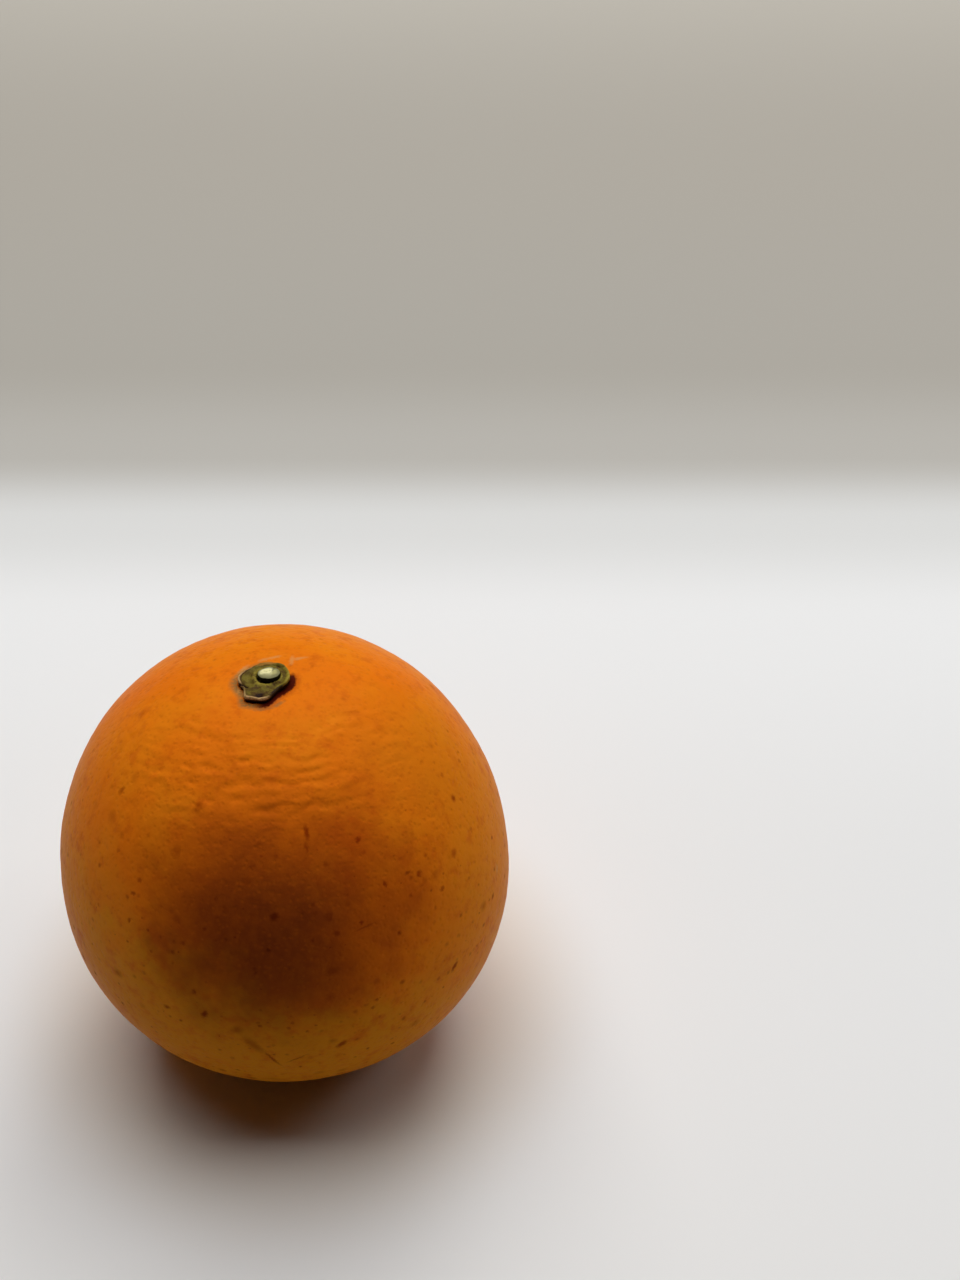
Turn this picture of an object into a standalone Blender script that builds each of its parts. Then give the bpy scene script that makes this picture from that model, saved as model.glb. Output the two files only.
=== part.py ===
"""Blood orange, whole, as picked: the fruit, the calyx left on it and the cut stub of its stalk.

Metres, +Z up along the fruit's own axis, stem end on top. The fruit rests on a small flat spot at its
stylar end, and the origin is the middle of that base. The more crumpled side faces -Y.
"""

import math

import bmesh
import bpy
from mathutils import Matrix, Vector, noise

# Driving dimensions of the fruit
MEAN_RADIUS = 0.0364
REST_RADIUS = 0.0070

# Low round forms of the fruit, each as a share of the mean radius
STRETCH = 0.004
EGG = 0.019
SQUARENESS = -0.0245
OVAL_COS = 0.003
OVAL_SIN = -0.014
THREE_SIDED_COS = 0.003
THREE_SIDED_SIN = -0.0095

# Basin round the stem, and the small pit that the stalk is rooted in
BASIN_DEPTH = 0.0010
BASIN_RADIUS = 0.0062
PIT_DEPTH = 0.0013
PIT_RADIUS = 0.0021
PIT_WALL = 0.0003

# Crumpled ridges that run round the upper shoulder, in a band measured along the skin from the stem
RIDGE_HEIGHT = 0.00034
RIDGE_WIDTH = 0.00125
RIDGE_LENGTH = 0.0030
RIDGES_BEGIN = (0.0058, 0.0095)
RIDGES_END = (0.0190, 0.0290)
RIDGES_BEHIND = 0.45

# Rings and meridians of the fruit's mesh
MERIDIANS = 84
RING_STEP_ON_RIDGES = 0.00082
RING_STEP = 0.0029

# Calyx: five blunt sepals, each with its direction, its reach from the stalk, the lift of its tip and the
# depth of the notch that follows it
SEPALS = (
    (-165.0, 0.0044, 0.00005, 0.0006),
    (-112.0, 0.0058, 0.00005, 0.0009),
    (-12.0, 0.0034, 0.00030, 0.0002),
    (60.0, 0.0032, 0.00010, 0.0003),
    (132.0, 0.0035, 0.00015, 0.0003),
)
SKIN_GAP = 0.0003
CALYX_HOLE_RADIUS = 0.00195
CALYX_COLLAR = 0.00082
CALYX_THICKNESS = 0.00066
CALYX_TOP_RINGS = 5
CALYX_MERIDIANS = 60

# Stub of the stalk: a peg whose cut head is a little wider than its neck
STUB_NECK_RADIUS = 0.00145
STUB_HEAD_RADIUS = 0.00163
STUB_ABOVE_SKIN = 0.0016
STUB_ROOT_IN_PIT = 0.0009
STUB_HEAD_STEPS = (0.00030, 0.00060)
STUB_CUT_TILT_DEG = 7.0
STUB_CUT_BEVEL = 0.00030
STUB_SIDES = 32

# Finishes: colour, roughness
RIND = ((0.78, 0.23, 0.02), 0.42)
SEPAL_GREEN = ((0.16, 0.15, 0.03), 0.62)
CUT_STALK = ((0.56, 0.55, 0.32), 0.50)


def clear_scene():
    for thing in list(bpy.data.objects):
        bpy.data.objects.remove(thing, do_unlink=True)


def make_material(name, finish):
    colour, roughness = finish
    material = bpy.data.materials.new(name)
    material.use_nodes = True
    shader = material.node_tree.nodes["Principled BSDF"]
    shader.inputs["Base Color"].default_value = (*colour, 1.0)
    shader.inputs["Roughness"].default_value = roughness
    shader.inputs["Metallic"].default_value = 0.0
    return material


def make_object(name, shape, finish, sharp_deg=180.0):
    """Turns a finished bmesh into a smooth shaded object with its own material."""
    bmesh.ops.recalc_face_normals(shape, faces=shape.faces[:])
    mesh = bpy.data.meshes.new(name)
    shape.to_mesh(mesh)
    shape.free()
    mesh.shade_smooth()
    mesh.set_sharp_from_angle(angle=math.radians(sharp_deg))
    mesh.materials.append(make_material(name, finish))
    thing = bpy.data.objects.new(name, mesh)
    bpy.context.scene.collection.objects.link(thing)
    return thing


def ease(low, high, value):
    """Rises smoothly from 0 at low to 1 at high."""
    share = min(1.0, max(0.0, (value - low) / (high - low)))
    return share * share * (3.0 - 2.0 * share)


def round_form(polar, turn):
    """The fruit's radius without its fine relief: a blunt egg, slightly oval and slightly three sided."""
    up = math.cos(polar)
    out = math.sin(polar)
    stretch = STRETCH * (3 * up**2 - 1) / 2
    egg = EGG * (5 * up**3 - 3 * up) / 2
    square = SQUARENESS * (35 * up**4 - 30 * up**2 + 3) / 8
    oval = out**2 * (OVAL_COS * math.cos(2 * turn) + OVAL_SIN * math.sin(2 * turn))
    three = out**3 * (THREE_SIDED_COS * math.cos(3 * turn) + THREE_SIDED_SIN * math.sin(3 * turn))
    return MEAN_RADIUS * (1 + stretch + egg + square + oval + three)


def basin(polar):
    """How deep the skin lies below the round form near the stem."""
    return BASIN_DEPTH * math.exp(-((MEAN_RADIUS * polar / BASIN_RADIUS) ** 2))


def pit(polar):
    """The steep little pit under the calyx."""
    return PIT_DEPTH * (1 - ease(PIT_RADIUS - PIT_WALL, PIT_RADIUS, MEAN_RADIUS * math.sin(polar)))


def ridges(polar, turn):
    """Broken ridges that run round the shoulder, higher on the side towards -Y."""
    along = MEAN_RADIUS * polar
    around = MEAN_RADIUS * math.sin(polar) / RIDGE_LENGTH
    place = Vector((around * math.cos(turn), around * math.sin(turn), along / RIDGE_WIDTH))
    band = ease(*RIDGES_BEGIN, along) * (1 - ease(*RIDGES_END, along))
    side = RIDGES_BEHIND + (1 - RIDGES_BEHIND) * (1 - math.sin(turn)) / 2
    return RIDGE_HEIGHT * band * side * noise.noise(place)


def skin_point(polar, turn, with_pit=True):
    """A point of the skin, with the middle of the fruit at the origin."""
    reach = round_form(polar, turn) - basin(polar) + ridges(polar, turn)
    if with_pit and polar < math.pi / 2:
        reach -= pit(polar)
    out = math.sin(polar)
    return reach * Vector((out * math.cos(turn), out * math.sin(turn), math.cos(polar)))


def skin_height(out, turn):
    """Height of the skin at a small distance out from the fruit's axis, as if it had no pit."""
    reach = MEAN_RADIUS
    for _ in range(4):
        polar = math.asin(out / reach)
        reach = skin_point(polar, turn, with_pit=False).length
    return reach * math.cos(polar)


def ring_angles():
    """Polar angles of the mesh's rings, from the pit's wall to the flat spot, close on the ridges."""
    angles = [math.asin(out / MEAN_RADIUS) for out in (PIT_RADIUS - PIT_WALL, PIT_RADIUS)]
    along = RIDGES_BEGIN[0] / 2
    while along < RIDGES_END[1]:
        angles.append(along / MEAN_RADIUS)
        along += RING_STEP_ON_RIDGES if along > RIDGES_BEGIN[0] else RING_STEP_ON_RIDGES * 2
    first = angles[-1]
    last = math.pi - math.asin(REST_RADIUS / MEAN_RADIUS)
    wide_rings = round((last - first) * MEAN_RADIUS / RING_STEP)
    angles += [first + (last - first) * ring / wide_rings for ring in range(1, wide_rings + 1)]
    return angles


def build_fruit():
    """A half outline is spun about the axis and set on the skin. Its last ring is closed as the flat spot."""
    shape = bmesh.new()
    angles = [0.0, *ring_angles()]
    outline = [shape.verts.new((math.sin(polar), 0.0, math.cos(polar))) for polar in angles]
    edges = [shape.edges.new(pair) for pair in zip(outline, outline[1:])]
    bmesh.ops.spin(
        shape,
        geom=outline + edges,
        axis=(0.0, 0.0, 1.0),
        cent=(0.0, 0.0, 0.0),
        steps=MERIDIANS,
        angle=math.tau,
        use_merge=True,
    )
    bmesh.ops.remove_doubles(shape, verts=shape.verts[:], dist=1e-5)
    rest_height = skin_point(angles[-1], 0.0).z
    for vertex in shape.verts:
        polar = math.acos(max(-1.0, min(1.0, vertex.co.z)))
        vertex.co = skin_point(polar, math.atan2(vertex.co.y, vertex.co.x))
    rim = [edge for edge in shape.edges if edge.is_boundary]
    for vertex in {vertex for edge in rim for vertex in edge.verts}:
        vertex.co.z = rest_height
    flat_spot = bmesh.ops.edgeloop_fill(shape, edges=rim)
    bmesh.ops.poke(shape, faces=flat_spot["faces"])
    return make_object("fruit", shape, RIND)


def sepal_form(turn):
    """The calyx's outer radius in a direction, and the lift of its edge there."""
    turn_deg = math.degrees(turn)
    for here, following in zip(SEPALS, SEPALS[1:] + SEPALS[:1]):
        span = (following[0] - here[0]) % 360.0
        past = (turn_deg - here[0]) % 360.0
        if past <= span:
            break
    share = past / span
    blend = (1 - math.cos(math.pi * share)) / 2
    notch = math.sin(math.pi * share) ** 2
    radius = here[1] * (1 - blend) + following[1] * blend - here[3] * notch
    lift = (here[2] * (1 - blend) + following[2] * blend) * (1 - 0.5 * notch)
    return radius, lift


def calyx_point(share, turn, above):
    """A point of the calyx, share 0 at the hole to 1 at the rim, above the skin by a height."""
    radius, lift = sepal_form(turn)
    out = CALYX_HOLE_RADIUS + (radius - CALYX_HOLE_RADIUS) * share
    height = skin_height(out, turn) + above + lift * share**2
    return Vector((out * math.cos(turn), out * math.sin(turn), height))


def calyx_section():
    """The closed section as (share, height above the skin), up the hole, over the top and back."""
    collar_top = SKIN_GAP + CALYX_COLLAR
    leaf_top = SKIN_GAP + CALYX_THICKNESS
    section = [(0.0, SKIN_GAP), (0.0, collar_top - 0.15 * CALYX_COLLAR), (0.12, collar_top)]
    for ring in range(1, CALYX_TOP_RINGS + 1):
        share = 0.12 + 0.84 * ring / CALYX_TOP_RINGS
        section.append((share, collar_top + (leaf_top - collar_top) * ease(0.12, 0.60, share)))
    section += [(1.0, (SKIN_GAP + leaf_top) / 2), (0.97, SKIN_GAP), (0.66, SKIN_GAP), (0.33, SKIN_GAP)]
    return section


def build_calyx():
    """The section is carried round the stalk, each copy drawn out to its sepal and bridged to the last."""
    shape = bmesh.new()
    loops = []
    for step in range(CALYX_MERIDIANS):
        turn = math.tau * step / CALYX_MERIDIANS
        ring = [shape.verts.new(calyx_point(share, turn, above)) for share, above in calyx_section()]
        loops.append([shape.edges.new(pair) for pair in zip(ring, ring[1:] + ring[:1])])
    for one, other in zip(loops, loops[1:] + loops[:1]):
        bmesh.ops.bridge_loops(shape, edges=one + other)
    return make_object("calyx", shape, SEPAL_GREEN, sharp_deg=50.0)


def build_stem_stub():
    """A peg with a straight neck and a wider head, cut across at a slant and worn round at the cut."""
    skin = skin_height(0.0, 0.0)
    neck_top = skin + STUB_ABOVE_SKIN - sum(STUB_HEAD_STEPS)
    root = skin - STUB_ROOT_IN_PIT
    shape = bmesh.new()
    bmesh.ops.create_cone(
        shape,
        cap_ends=True,
        segments=STUB_SIDES,
        radius1=STUB_NECK_RADIUS,
        radius2=STUB_NECK_RADIUS,
        depth=neck_top - root,
        matrix=Matrix.Translation((0.0, 0.0, (neck_top + root) / 2)),
    )
    cut = max(shape.faces, key=lambda face: face.calc_center_median().z)
    widen = STUB_HEAD_RADIUS / STUB_NECK_RADIUS
    for rise in STUB_HEAD_STEPS:
        cut = bmesh.ops.extrude_discrete_faces(shape, faces=[cut])["faces"][0]
        bmesh.ops.scale(shape, vec=(widen, widen, 1.0), verts=cut.verts[:])
        bmesh.ops.translate(shape, vec=(0.0, 0.0, rise), verts=cut.verts[:])
        widen = 1.0
    bmesh.ops.rotate(
        shape,
        cent=cut.calc_center_median(),
        matrix=Matrix.Rotation(math.radians(STUB_CUT_TILT_DEG), 3, "X"),
        verts=cut.verts[:],
    )
    bmesh.ops.bevel(
        shape,
        geom=cut.edges[:],
        offset=STUB_CUT_BEVEL,
        segments=4,
        profile=0.5,
        affect="EDGES",
        material=-1,
    )
    return make_object("stem_stub", shape, CUT_STALK, sharp_deg=50.0)


def stand_at_origin(things):
    """Moves the whole object so that its box stands centred on the origin."""
    corners = [vertex.co for thing in things for vertex in thing.data.vertices]
    low = Vector([min(corner[axis] for corner in corners) for axis in range(3)])
    high = Vector([max(corner[axis] for corner in corners) for axis in range(3)])
    for thing in things:
        thing.location = (-(low.x + high.x) / 2, -(low.y + high.y) / 2, -low.z)


clear_scene()
stand_at_origin([build_fruit(), build_calyx(), build_stem_stub()])
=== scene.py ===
"""Looks of the blood orange: the finely pitted rind, the dried calyx and the cut stub of the stalk.

Metres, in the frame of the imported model: +Z up along the fruit's own axis, stem end on top, and the flat
spot that it rests on at the origin. The materials work in millimetres from the middle of the fruit.
"""

import math

import bmesh
import bpy
from mathutils import Matrix, Vector, noise


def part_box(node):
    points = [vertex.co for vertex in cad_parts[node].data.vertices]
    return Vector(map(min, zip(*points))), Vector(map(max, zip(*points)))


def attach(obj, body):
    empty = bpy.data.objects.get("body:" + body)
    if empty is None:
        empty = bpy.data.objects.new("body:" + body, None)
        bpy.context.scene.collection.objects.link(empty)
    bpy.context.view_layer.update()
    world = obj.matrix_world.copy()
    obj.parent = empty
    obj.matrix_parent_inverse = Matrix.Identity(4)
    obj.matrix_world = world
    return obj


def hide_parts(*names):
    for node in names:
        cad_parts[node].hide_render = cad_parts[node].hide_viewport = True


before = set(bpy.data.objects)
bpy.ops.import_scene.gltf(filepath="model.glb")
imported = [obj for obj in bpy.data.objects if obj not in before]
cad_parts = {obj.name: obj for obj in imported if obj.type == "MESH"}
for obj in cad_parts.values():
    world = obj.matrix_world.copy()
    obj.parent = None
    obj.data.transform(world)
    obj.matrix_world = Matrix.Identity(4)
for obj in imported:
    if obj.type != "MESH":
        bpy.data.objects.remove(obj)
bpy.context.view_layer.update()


# Rind
# The fruit's thick outer skin, grown in one piece with the flesh under it. It is waxy and full of oil
# glands, it shrinks into crumpled ridges round the stem, and it has a dusky red blush on one side, deepened
# at the front by painted shade, and a painted golden sheen at its rims.

MEAN_RADIUS = 0.0364
REST_RADIUS = 0.0070
STRETCH = 0.004
EGG = 0.019
SQUARENESS = -0.0245
OVAL_COS = 0.003
OVAL_SIN = -0.014
THREE_SIDED_COS = 0.003
THREE_SIDED_SIN = -0.0095

BASIN_DEPTH = 0.0010
BASIN_RADIUS = 0.0062
PIT_DEPTH = 0.0013
PIT_RADIUS = 0.0021
PIT_WALL = 0.0003

RIDGES_BEGIN = (0.0080, 0.0150)
RIDGES_END = (0.0210, 0.0300)
RIDGES_BEHIND = 0.20
RIDGES_FACE_DEG = -92.0
RIDGES_FACE_POWER = 3.5
ROW_HEIGHT = 0.000085
ROW_SPACING = 0.0018
ROW_SHARPNESS = 0.5
ROW_PIECE = (0.0019, 0.0056)
ROW_GAPS = 0.30
ROW_STRAY = 0.0012
ROW_STRAY_SIZE = 0.0032
ROWS_LEAN_BACK_DEG = 20.0
CREASE_HEIGHT = 0.00013
CREASE_SIZE = (0.0026, 0.0052)
CREASE_TURNED = 1.0
DENT_DEPTH = 0.00014
DENT_SIZE = (0.0016, 0.0032)
DENT_TURNED = 2.0
DENT_SHARE = (0.28, 0.50)
DENT_WITHIN_BAND = 0.2
SWELL_HEIGHT = 0.00010
SWELL_WIDTH = 0.0090
DIMPLE_HEIGHT = 0.00004
DIMPLE_WIDTH = 0.0016
STYLE_SCAR_RADIUS = 0.0022
STYLE_SCAR_FLAT = 0.00066
STYLE_SCAR_DEPTH = 0.0005

# Sepals of the calyx, which the scurf and the painted shadow on the rind follow: direction, reach from the
# stalk, lift of the tip and depth of the notch that comes after it
SEPALS = (
    (-168.0, 0.00460, 0.00015, 0.0006),
    (-106.0, 0.00562, 0.00020, 0.0006),
    (-30.0, 0.00340, 0.00035, 0.0001),
    (45.0, 0.00315, 0.00020, 0.0001),
    (118.0, 0.00330, 0.00015, 0.0002),
)

# Corners of the blunt front sepal: direction, extra reach and spread
SEPAL_CORNERS = ((-121.0, 0.00065, 9.0), (-85.0, 0.00045, 10.0))

NOTCH_LOWERS_EDGE = 0.5

RIND_CUTS = 125
FINER_ON_TOP = 0.22
SKIN_HEIGHT_ROUNDS = 4

stub_low, stub_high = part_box("stem_stub")


def ease(low, high, value):
    """Rises smoothly from 0 at low to 1 at high."""
    share = min(1.0, max(0.0, (value - low) / (high - low)))
    return share * share * (3.0 - 2.0 * share)


def hump(value, middle, width):
    """Is 1 at the middle value and dies away on both sides of it."""
    return math.exp(-(((value - middle) / width) ** 2))


def round_form(polar, turn):
    """The fruit's radius without its fine relief: a blunt egg, slightly oval and slightly three sided.

    Its stretch, egg and square terms are the Legendre polynomials of degree 2, 3 and 4.
    """
    up = math.cos(polar)
    out = math.sin(polar)
    stretch = STRETCH * (3 * up**2 - 1) / 2
    egg = EGG * (5 * up**3 - 3 * up) / 2
    square = SQUARENESS * (35 * up**4 - 30 * up**2 + 3) / 8
    oval = out**2 * (OVAL_COS * math.cos(2 * turn) + OVAL_SIN * math.sin(2 * turn))
    three = out**3 * (THREE_SIDED_COS * math.cos(3 * turn) + THREE_SIDED_SIN * math.sin(3 * turn))
    return MEAN_RADIUS * (1 + stretch + egg + square + oval + three)


def basin(polar):
    """How deep the skin lies below the round form near the stem."""
    return BASIN_DEPTH * hump(MEAN_RADIUS * polar, 0.0, BASIN_RADIUS)


def folds(polar, turn, width, length):
    """Uneven waves that run round the fruit, from -1 to 1."""
    around = MEAN_RADIUS * math.sin(polar) / length
    place = Vector((around * math.cos(turn), around * math.sin(turn), MEAN_RADIUS * polar / width))
    return noise.noise(place)


def ridges(polar, turn):
    """Broken rows of low ridges on the shoulder, uneven creases and a few dents, stronger towards -Y."""
    along = MEAN_RADIUS * polar
    band = ease(*RIDGES_BEGIN, along) * (1 - ease(*RIDGES_END, along))
    if band == 0.0:
        return 0.0
    facing = (1 + math.cos(turn - math.radians(RIDGES_FACE_DEG))) / 2
    side = RIDGES_BEHIND + (1 - RIDGES_BEHIND) * facing**RIDGES_FACE_POWER
    out = math.sin(polar)
    direction = Vector((out * math.cos(turn), out * math.sin(turn), math.cos(polar)))
    lean = math.radians(ROWS_LEAN_BACK_DEG)
    from_pole = MEAN_RADIUS * direction.angle(Vector((0.0, math.sin(lean), math.cos(lean))))
    stray = ROW_STRAY * folds(polar, turn, ROW_STRAY_SIZE, ROW_STRAY_SIZE)
    phase = math.tau * (from_pole + stray) / ROW_SPACING
    row = math.sin(phase - ROW_SHARPNESS * math.sin(phase))
    row *= ease(-ROW_GAPS, ROW_GAPS, folds(polar, turn, *ROW_PIECE))
    crease = folds(polar, turn + CREASE_TURNED, *CREASE_SIZE)
    dent = ease(*DENT_SHARE, folds(polar, turn + DENT_TURNED, *DENT_SIZE))
    dent *= ease(DENT_WITHIN_BAND, 1.0, band)
    return side * (band * (ROW_HEIGHT * row + CREASE_HEIGHT * crease) - DENT_DEPTH * dent)


def pit(polar):
    """The steep little pit under the calyx."""
    return PIT_DEPTH * (1 - ease(PIT_RADIUS - PIT_WALL, PIT_RADIUS, MEAN_RADIUS * math.sin(polar)))


def fine_relief(direction):
    """Slow swells and the shallow dimples between oil glands, the same over the whole fruit."""
    swell = SWELL_HEIGHT * noise.noise(direction * (MEAN_RADIUS / SWELL_WIDTH))
    dimples = DIMPLE_HEIGHT * noise.noise(direction * (MEAN_RADIUS / DIMPLE_WIDTH))
    return swell + dimples


def skin_point(polar, turn, with_pit=True):
    """A point of the skin, with the middle of the fruit at the origin."""
    out = math.sin(polar)
    direction = Vector((out * math.cos(turn), out * math.sin(turn), math.cos(polar)))
    reach = round_form(polar, turn) - basin(polar) + ridges(polar, turn) + fine_relief(direction)
    if with_pit and polar < math.pi / 2:
        reach -= pit(polar)
    return reach * direction


def skin_height(out, turn):
    """Height of the skin at a small distance out from the fruit's axis, as if it had no pit."""
    reach = MEAN_RADIUS
    for _ in range(SKIN_HEIGHT_ROUNDS):
        polar = math.asin(out / reach)
        reach = skin_point(polar, turn, with_pit=False).length
    return reach * math.cos(polar)


def sepal_form(turn):
    """The calyx's outer radius in a direction, and the lift of its edge there."""
    turn_deg = math.degrees(turn)
    for here, following in zip(SEPALS, SEPALS[1:] + SEPALS[:1]):
        span = (following[0] - here[0]) % 360.0
        past = (turn_deg - here[0]) % 360.0
        if past <= span:
            break
    share = past / span
    blend = (1 - math.cos(math.pi * share)) / 2
    notch = math.sin(math.pi * share) ** 2
    radius = here[1] * (1 - blend) + following[1] * blend - here[3] * notch
    for corner_deg, extra, spread in SEPAL_CORNERS:
        radius += extra * hump(turn_deg, corner_deg, spread)
    lift = (here[2] * (1 - blend) + following[2] * blend) * (1 - NOTCH_LOWERS_EDGE * notch)
    return radius, lift


rest_polar = math.pi - math.asin(REST_RADIUS / MEAN_RADIUS)
rest_height = round_form(rest_polar, 0.0) * math.cos(rest_polar)
FRUIT_MIDDLE = Vector(((stub_low.x + stub_high.x) / 2, (stub_low.y + stub_high.y) / 2, -rest_height))


def build_rind():
    """A finely divided cube is drawn out to the skin, and flattened where the fruit rests.

    Each point keeps how far beyond the edge of the calyx it lies, in millimetres, for the scurf and the
    painted shadow there.
    """
    shape = bmesh.new()
    bmesh.ops.create_cube(shape, size=2.0)
    bmesh.ops.subdivide_edges(shape, edges=shape.edges[:], cuts=RIND_CUTS, use_grid_fill=True)
    beyond_calyx = shape.verts.layers.float.new("beyond_calyx")
    for vertex in shape.verts:
        evened = Vector([math.tan(math.pi / 4 * value) for value in vertex.co])
        turn = math.atan2(evened.y, evened.x)
        polar = evened.angle(Vector((0.0, 0.0, 1.0)))
        polar -= FINER_ON_TOP * math.sin(polar)
        place = FRUIT_MIDDLE + skin_point(polar, turn)
        if place.z < 0.0:
            out = (place - FRUIT_MIDDLE).xy.length
            place.z = STYLE_SCAR_DEPTH * (1 - ease(STYLE_SCAR_FLAT, STYLE_SCAR_RADIUS, out))
        vertex[beyond_calyx] = 1000 * (MEAN_RADIUS * polar - sepal_form(turn)[0])
        vertex.co = place
    return shape


def add_object(name, data):
    """A new object of the scene."""
    made = bpy.data.objects.new(name, data)
    bpy.context.scene.collection.objects.link(made)
    return made


def make_piece(name, shape, node, material, sharp_deg=180.0):
    """Turns a bmesh into a smooth shaded piece that rides on the fruit's body and stands for a node."""
    mesh = bpy.data.meshes.new(name)
    shape.to_mesh(mesh)
    shape.free()
    mesh.shade_smooth()
    mesh.set_sharp_from_angle(angle=math.radians(sharp_deg))
    mesh.materials.append(material)
    piece = add_object(name, mesh)
    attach(piece, "root")
    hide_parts(node)


def add_node(tree, kind, inputs=None, **settings):
    """A shader node with its settings, and with each named input set to a value or linked to a socket."""
    made = tree.nodes.new("ShaderNode" + kind)
    for name, value in settings.items():
        setattr(made, name, value)
    for name, value in (inputs or {}).items():
        if isinstance(value, bpy.types.NodeSocket):
            tree.links.new(value, made.inputs[name])
        else:
            made.inputs[name].default_value = value
    return made


def reckon(tree, operation, *values):
    """The result of a Math node."""
    return add_node(tree, "Math", dict(enumerate(values)), operation=operation).outputs[0]


def times(tree, *values):
    """The product of all the values."""
    product = values[0]
    for value in values[1:]:
        product = reckon(tree, "MULTIPLY", product, value)
    return product


def reckon_vector(tree, operation, *values, result=0):
    """The result of a Vector Math node: 0 for its vector, 1 for its number."""
    return add_node(tree, "VectorMath", dict(enumerate(values)), operation=operation).outputs[result]


def fade(tree, value, low, high, start=0.0, end=1.0):
    """A smooth step from start at low to end at high."""
    inputs = {"Value": value, "From Min": low, "From Max": high, "To Min": start, "To Max": end}
    return add_node(tree, "MapRange", inputs, interpolation_type="SMOOTHSTEP").outputs["Result"]


def paint(tree, share, under, over, blend="MIX"):
    """Lays one colour over another by a share."""
    layers = {0: share, 6: under, 7: over}
    return add_node(tree, "Mix", layers, data_type="RGBA", blend_type=blend).outputs[2]


def between(tree, share, low, high):
    """A value that goes from low to high as a share goes from 0 to 1."""
    return reckon(tree, "MULTIPLY_ADD", share, high - low, low)


def mottle(tree, place, size, detail=2.0, roughness=0.5):
    """Soft noise from 0 to 1 whose patches are about size millimetres wide."""
    inputs = {"Vector": place, "Scale": 1 / size, "Detail": detail, "Roughness": roughness}
    return add_node(tree, "TexNoise", inputs).outputs["Fac"]


def patches(tree, place, size, detail, roughness, begin, full, strength):
    """Uneven patches, from the noise at which they begin to the noise at which they are full."""
    return fade(tree, mottle(tree, place, size, detail, roughness), begin, full, 0.0, strength)


def waver(tree, value, place, reach, *noise_kind):
    """A value made uneven by noise, by up to reach either way."""
    return reckon(tree, "ADD", value, between(tree, mottle(tree, place, *noise_kind), -reach, reach))


def bend(tree, place, per_mm, reach):
    """A place moved along each axis by up to reach millimetres, by noise with so many waves in one."""
    waves = add_node(tree, "TexNoise", {"Vector": place, "Scale": per_mm, "Detail": 1.0}).outputs["Color"]
    return reckon_vector(tree, "MULTIPLY_ADD", waves, (reach,) * 3, place)


def new_group(name, inputs, outputs):
    """An empty node group with its sockets, given as (name, kind) pairs."""
    group = bpy.data.node_groups.new(name, "ShaderNodeTree")
    for direction, sockets in (("INPUT", inputs), ("OUTPUT", outputs)):
        for label, kind in sockets:
            group.interface.new_socket(label, in_out=direction, socket_type="NodeSocket" + kind)
    return group, group.nodes.new("NodeGroupInput").outputs, group.nodes.new("NodeGroupOutput").inputs


# How far out in a mark its colour begins to fade and is gone, as shares of its half size
MARK_FADE = (0.30, 1.80)


def placed_mark_group():
    """One oval mark of the skin with a soft edge, at a place and turned to lie on the skin there."""
    inputs = [(name, "Vector") for name in ("Place", "Middle", "Turn", "Extent")]
    group, given, result = new_group("placed mark", inputs + [("Strength", "Float")], [("Mask", "Float")])
    oval = {"Location": given["Middle"], "Rotation": given["Turn"], "Scale": given["Extent"]}
    within = add_node(group, "Mapping", {"Vector": given["Place"], **oval}, vector_type="TEXTURE")
    reach = reckon_vector(group, "LENGTH", within.outputs["Vector"], result=1)
    group.links.new(fade(group, reach, *MARK_FADE, given["Strength"], 0.0), result["Mask"])
    return group


# Scattered specks: how their cells are bent, from which to which share of the given radius they are large,
# where they fade and how strong they are
SPECK_BENDS_PER_MM = 2.2
SPECK_BEND = 0.35
SPECK_SIZES = (0.35, 1.10)
SPECK_FADE = (0.1, 1.4)
SPECK_STRENGTHS = (0.4, 1.0)


def speck_group():
    """Specks of chance size and place, one at most in each cell of the skin."""
    inputs = [("Place", "Vector"), ("Cell", "Float"), ("Radius", "Float"), ("Share", "Float")]
    group, given, result = new_group("specks", inputs, [("Mask", "Float")])
    scale = reckon(group, "DIVIDE", 1.0, given["Cell"])
    bent = bend(group, given["Place"], SPECK_BENDS_PER_MM, SPECK_BEND)
    cells = add_node(group, "TexVoronoi", {"Vector": bent, "Scale": scale, "Randomness": 1.0})
    chance = add_node(group, "SeparateColor", {"Color": cells.outputs["Color"]}).outputs
    distance = times(group, cells.outputs["Distance"], given["Cell"])
    size = between(group, reckon(group, "POWER", chance["Red"], 2.0), *SPECK_SIZES)
    reach = reckon(group, "DIVIDE", distance, times(group, size, given["Radius"]))
    spot = fade(group, reach, *SPECK_FADE, 1.0, 0.0)
    there = reckon(group, "LESS_THAN", chance["Green"], given["Share"])
    strength = between(group, chance["Blue"], *SPECK_STRENGTHS)
    group.links.new(times(group, spot, there, strength), result["Mask"])
    return group


def use_group(tree, group, **values):
    """The result of a node group that is placed in a tree."""
    return add_node(tree, "Group", values, node_tree=group).outputs[0]


def new_material(name, **constants):
    """A material with its tree, its shader and the place on the fruit in millimetres from its middle."""
    material = bpy.data.materials.new(name)
    material.use_nodes = True
    tree = material.node_tree
    shader = tree.nodes["Principled BSDF"]
    for label, value in constants.items():
        shader.inputs[label.replace("_", " ")].default_value = value
    coordinates = tree.nodes.new("ShaderNodeTexCoord").outputs["Object"]
    inputs = {"Vector": coordinates, "Location": FRUIT_MIDDLE * -1000.0, "Scale": (1000.0, 1000.0, 1000.0)}
    place = add_node(tree, "Mapping", inputs).outputs["Vector"]
    return material, tree, shader, place


def link_looks(tree, shader, colour, roughness, height):
    """Links the colour, the roughness and the bump, whose height is in millimetres, to the shader."""
    bump = add_node(tree, "Bump", {"Height": height, "Strength": 1.0, "Distance": 0.001}).outputs["Normal"]
    for label, socket in (("Base Color", colour), ("Roughness", roughness), ("Normal", bump)):
        tree.links.new(socket, shader.inputs[label])


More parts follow.
